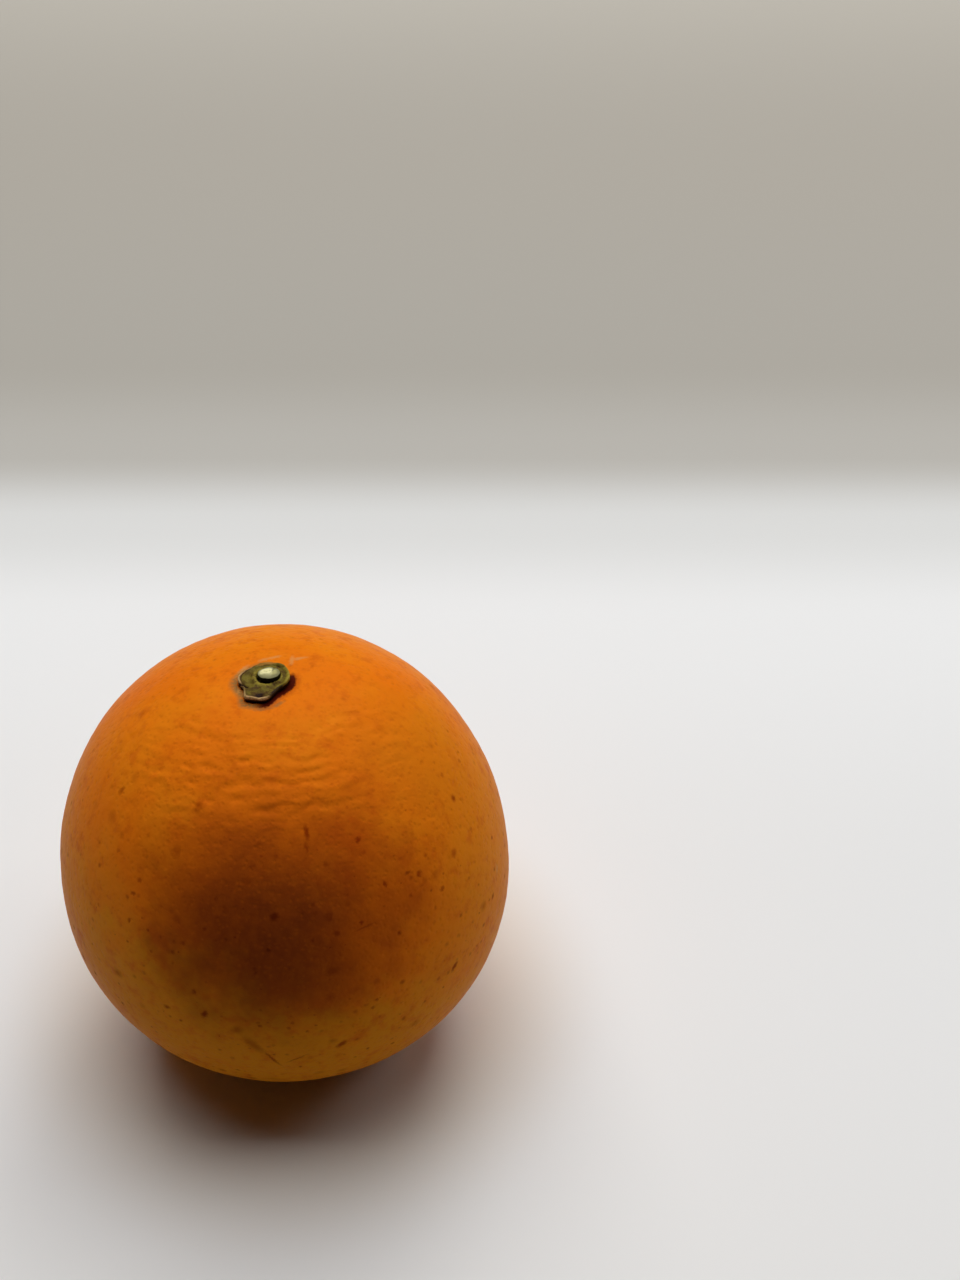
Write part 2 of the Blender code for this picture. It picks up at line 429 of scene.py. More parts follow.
def skin_frame(along_mm, turn_deg):
    """A spot of the skin in millimetres, and the directions round the fruit, up its side and out there."""
    polar = along_mm / 1000.0 / MEAN_RADIUS
    turn = math.radians(turn_deg)
    place = skin_point(polar, turn) * 1000.0
    around = Vector((-math.sin(turn), math.cos(turn), 0.0))
    outwards = place.normalized()
    return place, around, outwards.cross(around), outwards


# Marks of the skin: distance from the stem along the skin in millimetres, turn in degrees, half length and
# half width in millimetres, slant from the level in degrees, strength
DARK_MARKS = (
    (26.9, -73, 0.95, 0.33, 88, 0.85),
    (28.9, -74, 0.60, 0.27, 95, 0.65),
    (38.2, -85, 0.60, 0.50, 30, 0.85),
    (43.3, -87, 0.32, 0.28, 0, 0.70),
    (23.6, -112, 0.85, 0.50, 80, 0.50),
    (30.0, -58, 0.38, 0.32, 0, 0.80),
    (34.1, -22, 0.50, 0.42, 60, 0.80),
    (38.7, -45, 0.45, 0.38, 10, 0.80),
    (37.6, -48, 0.45, 0.22, 5, 0.55),
    (37.5, -55, 0.45, 0.18, 95, 0.75),
    (43.1, -40, 0.36, 0.32, 0, 0.70),
    (53.2, -23, 0.42, 0.34, 70, 0.90),
    (58.1, -41, 0.78, 0.34, 50, 1.00),
    (56.4, -104, 0.70, 0.38, 65, 0.95),
    (57.2, -114, 0.45, 0.36, 20, 0.85),
    (64.1, -72, 0.85, 0.44, 44, 0.90),
    (27.6, -145, 0.60, 0.36, 80, 0.65),
    (52.1, -106, 0.42, 0.32, 70, 0.70),
    (42.1, -70, 0.42, 0.36, 0, 0.60),
    (42.5, -63, 1.30, 0.16, 5, 0.45),
    (57.3, -64, 0.34, 0.28, 60, 0.60),
    (39.1, -125, 0.42, 0.26, 10, 0.75),
    (36.7, -124, 0.34, 0.30, 0, 0.65),
    (62.6, -93, 2.00, 0.70, 123, 0.60),
    (66.4, -89, 2.10, 0.22, 115, 0.80),
    (66.6, -83, 1.60, 0.17, 33, 0.65),
    (58.3, -84, 0.32, 0.26, 117, 0.55),
    (57.2, -83, 0.28, 0.24, 112, 0.50),
    (47.0, 38, 0.80, 0.34, 70, 0.75),
    (31.0, 118, 0.55, 0.50, 20, 0.80),
    (58.0, 150, 0.95, 0.30, 30, 0.75),
    (66.0, 74, 0.50, 0.40, 0, 0.70),
)
PALE_MARKS = (
    (50.4, -18, 0.75, 0.45, 80, 0.50),
    (5.7, 58, 0.95, 0.32, 120, 0.55),
    (6.8, 52, 1.00, 0.30, 60, 0.55),
    (5.6, 88, 0.90, 0.25, 20, 0.55),
    (5.2, 104, 0.80, 0.25, 10, 0.55),
    (4.9, 154, 1.30, 0.35, 0, 0.80),
    (5.0, -146, 1.00, 0.40, 5, 0.80),
)
SCURF_MARKS = (
    (6.6, -91, 1.20, 0.42, 8, 0.85),
    (6.0, -71, 0.90, 0.34, 20, 0.70),
)

PEEL = (0.82, 0.182, 0.005, 1.0)
PEEL_DEEP = (0.74, 0.145, 0.0045, 1.0)
PEEL_YELLOW = (0.82, 0.212, 0.006, 1.0)
PEEL_LOW = (0.78, 0.258, 0.008, 1.0)
# Yellower peel at both sides and behind: a painted golden sheen of the rims
PEEL_RIM_SHEEN = (0.8, 0.255, 0.007, 1.0)
# Colours of the blush, which on the front of the fruit are partly painted shade
BLUSH_AND_SHADE = (0.19, 0.032, 0.006, 1.0)
BLUSH_AND_SHADE_HALO = (0.42, 0.068, 0.0045, 1.0)
BLUSH_AND_SHADE_HALO_LOW = (0.45, 0.125, 0.0045, 1.0)
BLUSH_AND_SHADE_UPPER = (0.5, 0.068, 0.0045, 1.0)
PEEL_DULL = (0.6, 0.185, 0.006, 1.0)
PORE = (0.52, 0.105, 0.004, 1.0)
SPECK_SHADE = (0.44, 0.235, 0.2, 1.0)
BLOTCH = (0.64, 0.12, 0.0045, 1.0)
DRY_SKIN = (0.68, 0.32, 0.095, 1.0)
SCURF = (0.29, 0.14, 0.038, 1.0)
# Painted shadow under the lifted calyx edge, and the painted shade halo round it
PAINTED_SHADOW = (0.07, 0.006, 0.002, 1.0)
PAINTED_SHADOW_HALO = (0.52, 0.09, 0.004, 1.0)
# Cork, which round the stalk is also painted shade in the pit under the calyx
CORK_AND_PIT_SHADE = (0.17, 0.105, 0.045, 1.0)

# Patches of the peel: width in millimetres, detail and roughness of their noise, the noise at which they
# begin and are full, strength
YELLOW_PATCHES = (11.0, 3.0, 0.5, 0.42, 0.70, 1.0)
DEEP_PATCHES = (1.7, 3.0, 0.6, 0.42, 0.75, 0.40)
BLOTCH_PATCHES = (3.4, 4.0, 0.65, 0.50, 0.72, 0.55)

# Borders of the yellower peel: low down on the left, and at both sides and behind, where the yellow is a
# painted golden sheen of the rims; in millimetres
LOW_LEAN = 0.3
LOW_WAVER = (12.0, 6.0, 3.0)
LOW_BORDER = (-2.0, 12.0)
SIDE_BORDER = (21.0, 35.0)
SIDE_STRENGTH = 0.8
BACK_BORDER = (3.0, 22.0)
BACK_STRENGTH = 0.7

# Blushes: distance from the stem along the skin, turn, radius at which they begin to fade and are gone,
# strength, colour above and colour low down. Those on the front, turned from -105 to -51 degrees, are
# partly the blush and partly painted shade of the front, which faces away from the lights.
BLUSH_AND_SHADE_PATCHES = (
    (26.5, -16.0, 2.0, 17.0, 0.50, PEEL_DULL, PEEL_DULL),
    (40.0, -86.0, 9.5, 26.5, 0.85, BLUSH_AND_SHADE_HALO, BLUSH_AND_SHADE_HALO_LOW),
    (38.5, -51.0, 1.0, 12.0, 0.45, BLUSH_AND_SHADE_HALO, BLUSH_AND_SHADE_HALO),
    (30.0, -56.0, -2.0, 11.0, 0.55, BLUSH_AND_SHADE_UPPER, BLUSH_AND_SHADE_UPPER),
    (48.6, -105.0, -1.0, 11.0, 0.45, BLUSH_AND_SHADE_HALO, BLUSH_AND_SHADE_HALO_LOW),
    (42.1, -87.5, 1.5, 20.0, 0.86, BLUSH_AND_SHADE, BLUSH_AND_SHADE),
    (44.0, 60.0, 2.0, 17.0, 0.40, BLUSH_AND_SHADE, BLUSH_AND_SHADE),
)
BLUSH_AND_SHADE_WAVER = (7.5, 8.0, 4.0, 0.6)
STREAK_STRETCH = (1.0, 1.0, 0.45)
STREAK_NOISE = (2.0, 4.0, 0.6)
STREAK_BORDER = (0.35, 0.62)
STREAK_FAINTEST = 0.84

# Oil glands
PORE_SPACING = 0.95
PORE_BENDS_PER_MM = 0.9
PORE_BEND = 0.5
PORE_RANDOMNESS = 0.85
PORE_RADIUS = 0.48
PORE_TINT = 0.20
PORE_DEPTH = 0.035
PEBBLE_SIZE = 0.8
PEBBLE_HEIGHT = 0.05

# Scattered specks: width of the cells, radius, share of the cells that have one, strength
SPECKS = (
    (3.6, 0.95, 0.72, 0.75),
    (1.7, 0.44, 0.70, 0.90),
)
SPECKS_THIN_OUT = (16.0, 31.0)
SPECKS_ON_TOP = 0.35
MARK_WAVE = 0.55
MARK_WAVE_SIZE = 0.45

# Skin round the calyx: distances from its edge or from the stalk in millimetres, and how far round they go
# as cosines of the angle from their direction
RAGGED_NOISE = (0.5, 3.0, 0.6)
RAGGED_REACH = 0.45
SCURF_DIRECTION = 195.0
SCURF_SECTOR = (-0.45, 0.0)
SCURF_BEGIN = (0.10, 0.45)
SCURF_END = (0.7, 1.9)
SCURF_PATCHES = (0.35, 0.6, 0.45, 1.0)
# Painted shadow under the lifted edge of the calyx at the front right, with a painted shade halo, and a
# painted shade line just outside its edge all round
PAINTED_SHADOW_DIRECTION = -38.0
PAINTED_SHADOW_SECTOR = (0.30, 0.62)
PAINTED_SHADOW_END = (0.70, 1.15)
PAINTED_SHADOW_HALO_SECTOR = (0.35, 0.80)
PAINTED_SHADOW_HALO_END = (0.9, 2.2)
PAINTED_SHADOW_HALO_STRENGTH = 0.75
UNDER_EDGE_END = (-0.1, 0.40)
UNDER_EDGE_STRENGTH = 0.95
# Cork round the stalk, partly painted shade of the pit
PIT_CORK_AND_SHADE_END = (2.4, 3.2)
STYLE_SCAR_END = (1.4, 2.6)
STYLE_SCAR_STRENGTH = 0.9

PEEL_ROUGHNESS = (0.34, 0.50)
PEEL_ROUGHNESS_NOISE = (2.2, 3.0)
MARK_ROUGHNESS = 0.25


def compass(turn_deg):
    """A level direction from the fruit's axis."""
    return Vector((math.cos(math.radians(turn_deg)), math.sin(math.radians(turn_deg)), 0.0))


def blush_and_shade_mask(tree, place, middle, border, strength):
    """A soft patch round a spot of the skin, with an uneven edge and faint streaks down the side."""
    away = reckon_vector(tree, "DISTANCE", place, middle, result=1)
    patch = fade(tree, waver(tree, away, place, *BLUSH_AND_SHADE_WAVER), *border, strength, 0.0)
    drawn_out = reckon_vector(tree, "MULTIPLY", place, STREAK_STRETCH)
    streaks = fade(tree, mottle(tree, drawn_out, *STREAK_NOISE), *STREAK_BORDER, STREAK_FAINTEST, 1.0)
    return times(tree, patch, streaks)


def peel_colour(tree, place, axes):
    """The ground colour: mottled, yellower low down, with a painted golden sheen at the sides and behind,
    and blushed, the blush at the front deepened by painted shade.
    """
    colour = paint(tree, patches(tree, place, *YELLOW_PATCHES), PEEL, PEEL_YELLOW)
    down_left = reckon(tree, "MULTIPLY_ADD", axes["X"], LOW_LEAN, axes["Z"])
    low = fade(tree, waver(tree, down_left, place, *LOW_WAVER), *LOW_BORDER, 1.0, 0.0)
    colour = paint(tree, low, colour, PEEL_LOW)
    aside = reckon(tree, "ABSOLUTE", axes["X"])
    # Painted golden sheen of the rims, at both sides and behind
    colour = paint(tree, fade(tree, aside, *SIDE_BORDER, 0.0, SIDE_STRENGTH), colour, PEEL_RIM_SHEEN)
    colour = paint(tree, fade(tree, axes["Y"], *BACK_BORDER, 0.0, BACK_STRENGTH), colour, PEEL_RIM_SHEEN)
    colour = paint(tree, patches(tree, place, *DEEP_PATCHES), colour, PEEL_DEEP)
    colour = paint(tree, patches(tree, place, *BLOTCH_PATCHES), colour, BLOTCH)
    # Blushes, those on the front partly painted shade of the side away from the lights
    for along, turn, full, gone, strength, above, below in BLUSH_AND_SHADE_PATCHES:
        mask = blush_and_shade_mask(tree, place, skin_frame(along, turn)[0], (full, gone), strength)
        colour = paint(tree, mask, colour, paint(tree, low, above, below))
    return colour


def join_masks(tree, masks):
    """The strongest of some masks at each place."""
    joined = masks[0]
    for mask in masks[1:]:
        joined = reckon(tree, "MAXIMUM", joined, mask)
    return joined


def marks_mask(tree, group, place, marks):
    """All placed marks of one kind, joined, with uneven edges."""
    bent = bend(tree, place, 1 / MARK_WAVE_SIZE, MARK_WAVE)
    mean_bend = Vector((MARK_WAVE / 2,) * 3)
    masks = []
    for along, turn, half_length, half_width, slant, strength in marks:
        middle, around, up, outwards = skin_frame(along, turn)
        lean = math.radians(slant)
        length_way = around * math.cos(lean) + up * math.sin(lean)
        width_way = outwards.cross(length_way)
        frame_of_mark = Matrix((length_way, width_way, outwards)).transposed()
        mask = use_group(
            tree,
            group,
            Place=bent,
            Middle=middle + mean_bend,
            Turn=frame_of_mark.to_euler(),
            Extent=(half_length, half_width, 2 * half_width),
            Strength=strength,
        )
        masks.append(mask)
    return join_masks(tree, masks)


def scattered_specks(tree, place, height):
    """Small specks all over the skin, fewer of them near the stem."""
    group = speck_group()
    masks = []
    for cell, radius, share, strength in SPECKS:
        mask = use_group(tree, group, Place=place, Cell=cell, Radius=radius, Share=share)
        masks.append(times(tree, mask, strength))
    return times(tree, join_masks(tree, masks), fade(tree, height, *SPECKS_THIN_OUT, 1.0, SPECKS_ON_TOP))


def ends_colour(tree, place, height, colour, scurf_marks):
    """Lays scurf, a painted shadow under the calyx's edge and cork with painted shade on the skin round the
    calyx, and cork on the scar of the style.
    """
    level = reckon_vector(tree, "MULTIPLY", place, (1.0, 1.0, 0.0))
    out = reckon_vector(tree, "LENGTH", level, result=1)
    way = reckon_vector(tree, "NORMALIZE", level)
    stem_side = reckon(tree, "GREATER_THAN", height, 0.0)
    beyond = add_node(tree, "Attribute", attribute_name="beyond_calyx").outputs["Fac"]
    uneven = mottle(tree, place, *RAGGED_NOISE)
    edge = reckon(tree, "ADD", beyond, between(tree, uneven, -RAGGED_REACH, RAGGED_REACH))

    facing_scurf = reckon_vector(tree, "DOT_PRODUCT", way, compass(SCURF_DIRECTION), result=1)
    scurf = times(tree, fade(tree, edge, *SCURF_BEGIN), fade(tree, edge, *SCURF_END, 1.0, 0.0))
    scurf = times(tree, scurf, fade(tree, uneven, *SCURF_PATCHES), fade(tree, facing_scurf, *SCURF_SECTOR))
    colour = paint(tree, reckon(tree, "MAXIMUM", scurf, scurf_marks), colour, SCURF)

    # Painted shadow and painted shade under and round the calyx's edge
    facing_shadow = reckon_vector(tree, "DOT_PRODUCT", way, compass(PAINTED_SHADOW_DIRECTION), result=1)
    halo = fade(tree, edge, *PAINTED_SHADOW_HALO_END, PAINTED_SHADOW_HALO_STRENGTH, 0.0)
    halo = times(tree, halo, fade(tree, facing_shadow, *PAINTED_SHADOW_HALO_SECTOR))
    colour = paint(tree, halo, colour, PAINTED_SHADOW_HALO)
    painted_shadow = times(tree, fade(tree, edge, *PAINTED_SHADOW_END, 1.0, 0.0), fade(tree, facing_shadow, *PAINTED_SHADOW_SECTOR))
    under_edge = fade(tree, edge, *UNDER_EDGE_END, UNDER_EDGE_STRENGTH, 0.0)
    colour = paint(tree, reckon(tree, "MAXIMUM", painted_shadow, under_edge), colour, PAINTED_SHADOW)

    # Cork in the pit round the stalk, partly painted shade
    cork_and_pit_shade = times(tree, fade(tree, out, *PIT_CORK_AND_SHADE_END, 1.0, 0.0), stem_side)
    colour = paint(tree, cork_and_pit_shade, colour, CORK_AND_PIT_SHADE)
    scar = fade(tree, out, *STYLE_SCAR_END, STYLE_SCAR_STRENGTH, 0.0)
    scar = times(tree, scar, reckon(tree, "SUBTRACT", 1.0, stem_side))
    return paint(tree, scar, colour, CORK_AND_PIT_SHADE)


def rind_material():
    """Orange peel, with its oil glands, specks and marks, and duller where it is marked."""
    material, tree, shader, place = new_material(
        "orange peel", IOR=1.1, Specular_IOR_Level=0.3, Specular_Tint=(1.0, 0.62, 0.32, 1.0)
    )
    axes = add_node(tree, "SeparateXYZ", {"Vector": place}).outputs
    height = axes["Z"]
    colour = peel_colour(tree, place, axes)

    bent = bend(tree, place, PORE_BENDS_PER_MM, PORE_BEND)
    spacing = {"Vector": bent, "Scale": 1 / PORE_SPACING, "Randomness": PORE_RANDOMNESS}
    pore = fade(tree, add_node(tree, "TexVoronoi", spacing).outputs["Distance"], 0.0, PORE_RADIUS, 1.0, 0.0)
    colour = paint(tree, times(tree, pore, PORE_TINT), colour, PORE)

    placed_mark = placed_mark_group()
    dark = marks_mask(tree, placed_mark, place, DARK_MARKS)
    dark = reckon(tree, "MAXIMUM", dark, scattered_specks(tree, place, height))
    colour = paint(tree, dark, colour, SPECK_SHADE, blend="MULTIPLY")
    pale = marks_mask(tree, placed_mark, place, PALE_MARKS)
    colour = paint(tree, pale, colour, DRY_SKIN)
    scurf_marks = marks_mask(tree, placed_mark, place, SCURF_MARKS)
    colour = ends_colour(tree, place, height, colour, scurf_marks)

    rough = between(tree, mottle(tree, place, *PEEL_ROUGHNESS_NOISE), *PEEL_ROUGHNESS)
    marked = reckon(tree, "MAXIMUM", dark, pale)
    rough = reckon(tree, "MULTIPLY_ADD", marked, MARK_ROUGHNESS, rough)

    bumps = times(tree, pore, -PORE_DEPTH)
    bumps = reckon(tree, "MULTIPLY_ADD", mottle(tree, place, PEBBLE_SIZE, detail=1.0), PEBBLE_HEIGHT, bumps)
    link_looks(tree, shader, colour, rough, bumps)
    return material


make_piece("orange_rind", build_rind(), "fruit", rind_material())


# Calyx
# The five sepals that held the flower, grown together to a leathery disc round the stalk. It dries on the
# fruit, so it is olive green with brown spots, and its edges turn pale and papery and lift from the skin.

SKIN_GAP = 0.00012
CALYX_HOLE_RADIUS = 0.00182
CALYX_COLLAR = 0.00100
CALYX_THICKNESS = 0.00080
CALYX_MERIDIANS = 180
CALYX_TOP_RINGS = 16
CALYX_COLLAR_END = 0.12
CALYX_LEAF_BEGIN = 0.60
CALYX_TOP_END = 0.94

# Outline of the calyx's section from the hole to the rim and back, as shares of the way to the rim and of
# the height of its collar or of its leaf
COLLAR_OUTLINE = ((0.0, 0.75), (0.04, 0.94), (CALYX_COLLAR_END, 1.0))
RIM_OUTLINE = ((0.975, 0.9), (1.0, 0.68), (1.0, 0.4), (0.985, 0.12), (0.95, 0.0), (0.66, 0.0), (0.33, 0.0))
SIDE_BELOW = 0.6

# Relief of its top: depth or height, and where it lies and how wide it is, as shares of the way to the rim
GROOVE_DEPTH = 0.00022
GROOVE_PLACE = (0.83, 0.06)
SWELLING_HEIGHT = 0.00010
SWELLING_PLACE = (0.85, 0.16)
WAIST_DEPTH = 0.00012
WAIST_PLACE = (0.45, 0.18)
EDGE_BEND = 0.00022
EDGE_BEND_BEGIN = 0.62
LUMP_HEIGHT = 0.00016
LUMPS_BEGIN = 0.15
LUMPS_PER_METRE = 900.0
SMALL_LUMP_SHARE = 0.5
SMALL_LUMPS_PER_METRE = 2200.0
HOLLOW_DEPTH = 0.00035
WORN_EDGE = 0.00010
WORN_EDGE_WAVES = 5.0
WORN_EDGE_LEVEL = 3.0

# Where its edge is papery, tan, bright with a painted highlight, and dark with painted shade: direction and
# spread in degrees
PAPERY_FRONT = (-104.0, 22.0)
PAPERY_LEFT = (178.0, 34.0)
BRIGHT_RIGHT = (5.0, 48.0)
DARK_FRONT_RIGHT = (-62.0, 24.0)
DARK_BEGIN = (0.60, 0.90)
TAN_BACK = (105.0, 32.0)
TAN_BEGIN = (0.45, 0.80)

# Places on its top, as distance from the stalk and direction: a dark hollow, and the line where the front
# sepal lies over the left one
HOLLOW_PLACE = (0.0046, -100.0)
HOLLOW_SIZE = 0.00060
OVERLAP_FROM = (0.0049, -163.0)
OVERLAP_TO = (0.0039, -135.0)
OVERLAP_WIDTH = 0.00016

# What each of its points keeps for the material
CALYX_ATTRIBUTES = ("rim", "side", "dry", "bright", "overlap", "dark", "tan")

OLIVE = (0.17, 0.125, 0.014, 1.0)
OLIVE_DARK = (0.095, 0.058, 0.005, 1.0)
# Painted highlight of the calyx's collar and right edge
OLIVE_HIGHLIGHT = (0.35, 0.265, 0.032, 1.0)
PAPERY = (0.52, 0.31, 0.13, 1.0)
TAN = (0.38, 0.18, 0.025, 1.0)
# Brown of the spots, also used as painted shade in the groove
BROWN_SPOT_AND_SHADE = (0.075, 0.036, 0.007, 1.0)
# Nearly black: painted shade at the front right edge, along the overlap and on the sides, and the middle of
# the hollow
NEARLY_BLACK = (0.016, 0.004, 0.001, 1.0)

# Its patches, as for the peel, and its other fades: from where to where, and the strengths there. Wavers
# give their reach and the width of their noise.
OLIVE_PATCHES = (1.3, 3.0, 0.5, 0.38, 0.62, 1.0)
BROWN_PATCHES = (0.9, 3.0, 0.6, 0.54, 0.66, 0.90)
# Painted highlights: on the collar round the hole and along the raised right edge
LIGHT_INSIDE_END = (0.05, 0.45, 1.0, 0.0)
LIGHT_INSIDE_NOISE = 0.8
LIGHT_INSIDE = (0.20, 0.60, 0.0, 0.7)
LIGHT_OUTSIDE = (0.50, 0.80)
LIGHT_OUTSIDE_STRENGTH = 0.9
TAN_WAVER = (0.4, 0.7, 3.0)
TAN_FADE = (0.25, 0.70, 0.0, 0.85)
# Painted shade in the groove of the dry edge
GROOVE_SHADE = (0.02, 0.08, 1.0, 0.0)
HOLLOW_WAVER = (0.3, 0.5)
HOLLOW_BROWN = (0.5, 1.4, 0.8, 0.0)
HOLLOW_BLACK = (0.35, 0.80, 1.0, 0.0)
PAPERY_RIM = (0.85, 0.93)
PAPERY_DRYNESS = (0.1, 0.7)
PAPERY_NOISE = 0.5
PAPERY_WEAR = (0.25, 0.5, 0.35, 1.0)
# Painted shade, nearly black, at the front right edge, along the overlap and on the lower sides
DARK_WAVER = (0.25, 0.5)
DARK_FADE = (0.25, 0.75, 0.0, 0.9)
OVERLAP_SHADE = (0.2, 0.7, 0.0, 0.95)
SIDE_SHADE = (0.35, 0.85, 0.0, 0.95)
CALYX_ROUGHNESS = (0.42, 0.72)
CALYX_ROUGHNESS_NOISE = 0.6
CALYX_GRAIN = (0.35, 3.0, 0.6)
CALYX_GRAIN_HEIGHT = 0.09


def papery_share(turn):
    """How dry and pale the edge is in a direction: most at the front left and the left."""
    turn_deg = math.degrees(turn)
    return min(1.0, hump(turn_deg, *PAPERY_FRONT) + hump(turn_deg % 360.0, *PAPERY_LEFT))


def sector_share(turn, middle_deg, spread_deg):
    """How near a direction is to the middle of a sector, from 0 to 1."""
    return hump(math.degrees(turn), middle_deg, spread_deg)


def spot_of_calyx(out, turn_deg):
    """A spot given by its distance from the stalk and its turn."""
    return out * compass(turn_deg)


def from_overlap(spot):
    """How far a spot of the calyx is from the line where the front sepal lies over the left one."""
    start = spot_of_calyx(*OVERLAP_FROM)
    along = spot_of_calyx(*OVERLAP_TO) - start
    share = min(1.0, max(0.0, (spot - start).dot(along) / along.length_squared))
    return (spot - start - share * along).length


def top_relief(share, turn, spot):
    """Height of the fine forms of the calyx's top over its smooth section."""
    hollow = hump((spot - spot_of_calyx(*HOLLOW_PLACE)).length, 0.0, HOLLOW_SIZE)
    hollow += hump(from_overlap(spot), 0.0, OVERLAP_WIDTH)
    groove = GROOVE_DEPTH * hump(share, *GROOVE_PLACE) * papery_share(turn)
    swelling = SWELLING_HEIGHT * hump(share, *SWELLING_PLACE) * sector_share(turn, *BRIGHT_RIGHT)
    waist = WAIST_DEPTH * hump(share, *WAIST_PLACE)
    bent_down = EDGE_BEND * sector_share(turn, *DARK_FRONT_RIGHT) * ease(EDGE_BEND_BEGIN, 1.0, share)
    lumps = noise.noise(spot * LUMPS_PER_METRE)
    lumps += SMALL_LUMP_SHARE * noise.noise(spot * SMALL_LUMPS_PER_METRE)
    raised = LUMP_HEIGHT * lumps * ease(0.0, LUMPS_BEGIN, share) + swelling
    return raised - groove - HOLLOW_DEPTH * hollow - waist - bent_down


def calyx_spot(share, turn):
    """A level spot of the calyx, share 0 at the hole to 1 at the rim, and the lift of the sepal there."""
    radius, lift = sepal_form(turn)
    around = Vector((math.cos(turn), math.sin(turn), 0.0))
    radius += WORN_EDGE * noise.noise(around * WORN_EDGE_WAVES + Vector((0.0, 0.0, WORN_EDGE_LEVEL)))
    out = CALYX_HOLE_RADIUS + (radius - CALYX_HOLE_RADIUS) * share
    return out * around, lift * share**2


def calyx_section():
    """The closed section as (share, height above the skin), up the hole, over the top and back."""
    section = [(0.0, SKIN_GAP)]
    section += [(share, SKIN_GAP + height * CALYX_COLLAR) for share, height in COLLAR_OUTLINE]
    for ring in range(1, CALYX_TOP_RINGS + 1):
        share = CALYX_COLLAR_END + (CALYX_TOP_END - CALYX_COLLAR_END) * ring / CALYX_TOP_RINGS
        lowered = ease(CALYX_COLLAR_END, CALYX_LEAF_BEGIN, share)
        section.append((share, SKIN_GAP + CALYX_COLLAR + (CALYX_THICKNESS - CALYX_COLLAR) * lowered))
    section += [(share, SKIN_GAP + height * CALYX_THICKNESS) for share, height in RIM_OUTLINE]
    return section


def build_calyx():
    """The section is spun round the stalk, and each point is then drawn out to its sepal.

    While it is spun, its hole has a radius of 1, so a point's share is its distance out past that.
    """
    shape = bmesh.new()
    layers = [shape.verts.layers.float.new(name) for name in CALYX_ATTRIBUTES]
    rim, side, dry, bright, overlap, dark, tan = layers
    outline = [shape.verts.new((1.0 + share, 0.0, above)) for share, above in calyx_section()]
    lines = [shape.edges.new(pair) for pair in zip(outline, outline[1:] + outline[:1])]
    bmesh.ops.spin(
        shape,
        geom=outline + lines,
        cent=(0.0, 0.0, 0.0),
        axis=(0.0, 0.0, 1.0),
        angle=math.tau,
        steps=CALYX_MERIDIANS,
        use_merge=True,
    )
    for vertex in shape.verts:
        share = vertex.co.xy.length - 1.0
        turn = math.atan2(vertex.co.y, vertex.co.x)
        above = vertex.co.z
        spot, lift = calyx_spot(share, turn)
        height = skin_height(spot.length, turn) + above + lift
        if above > SKIN_GAP + CALYX_THICKNESS / 2:
            height += top_relief(share, turn, spot)
        vertex.co = FRUIT_MIDDLE + spot + Vector((0.0, 0.0, height))
        vertex[rim] = share
        vertex[side] = float(share > CALYX_TOP_END and above < SKIN_GAP + SIDE_BELOW * CALYX_THICKNESS)
        vertex[dry] = papery_share(turn)
        vertex[bright] = sector_share(turn, *BRIGHT_RIGHT)
        vertex[dark] = sector_share(turn, *DARK_FRONT_RIGHT) * ease(*DARK_BEGIN, share)
        vertex[tan] = sector_share(turn, *TAN_BACK) * ease(*TAN_BEGIN, share)
        vertex[overlap] = hump(from_overlap(spot), 0.0, OVERLAP_WIDTH)
    bmesh.ops.recalc_face_normals(shape, faces=shape.faces[:])
    return shape


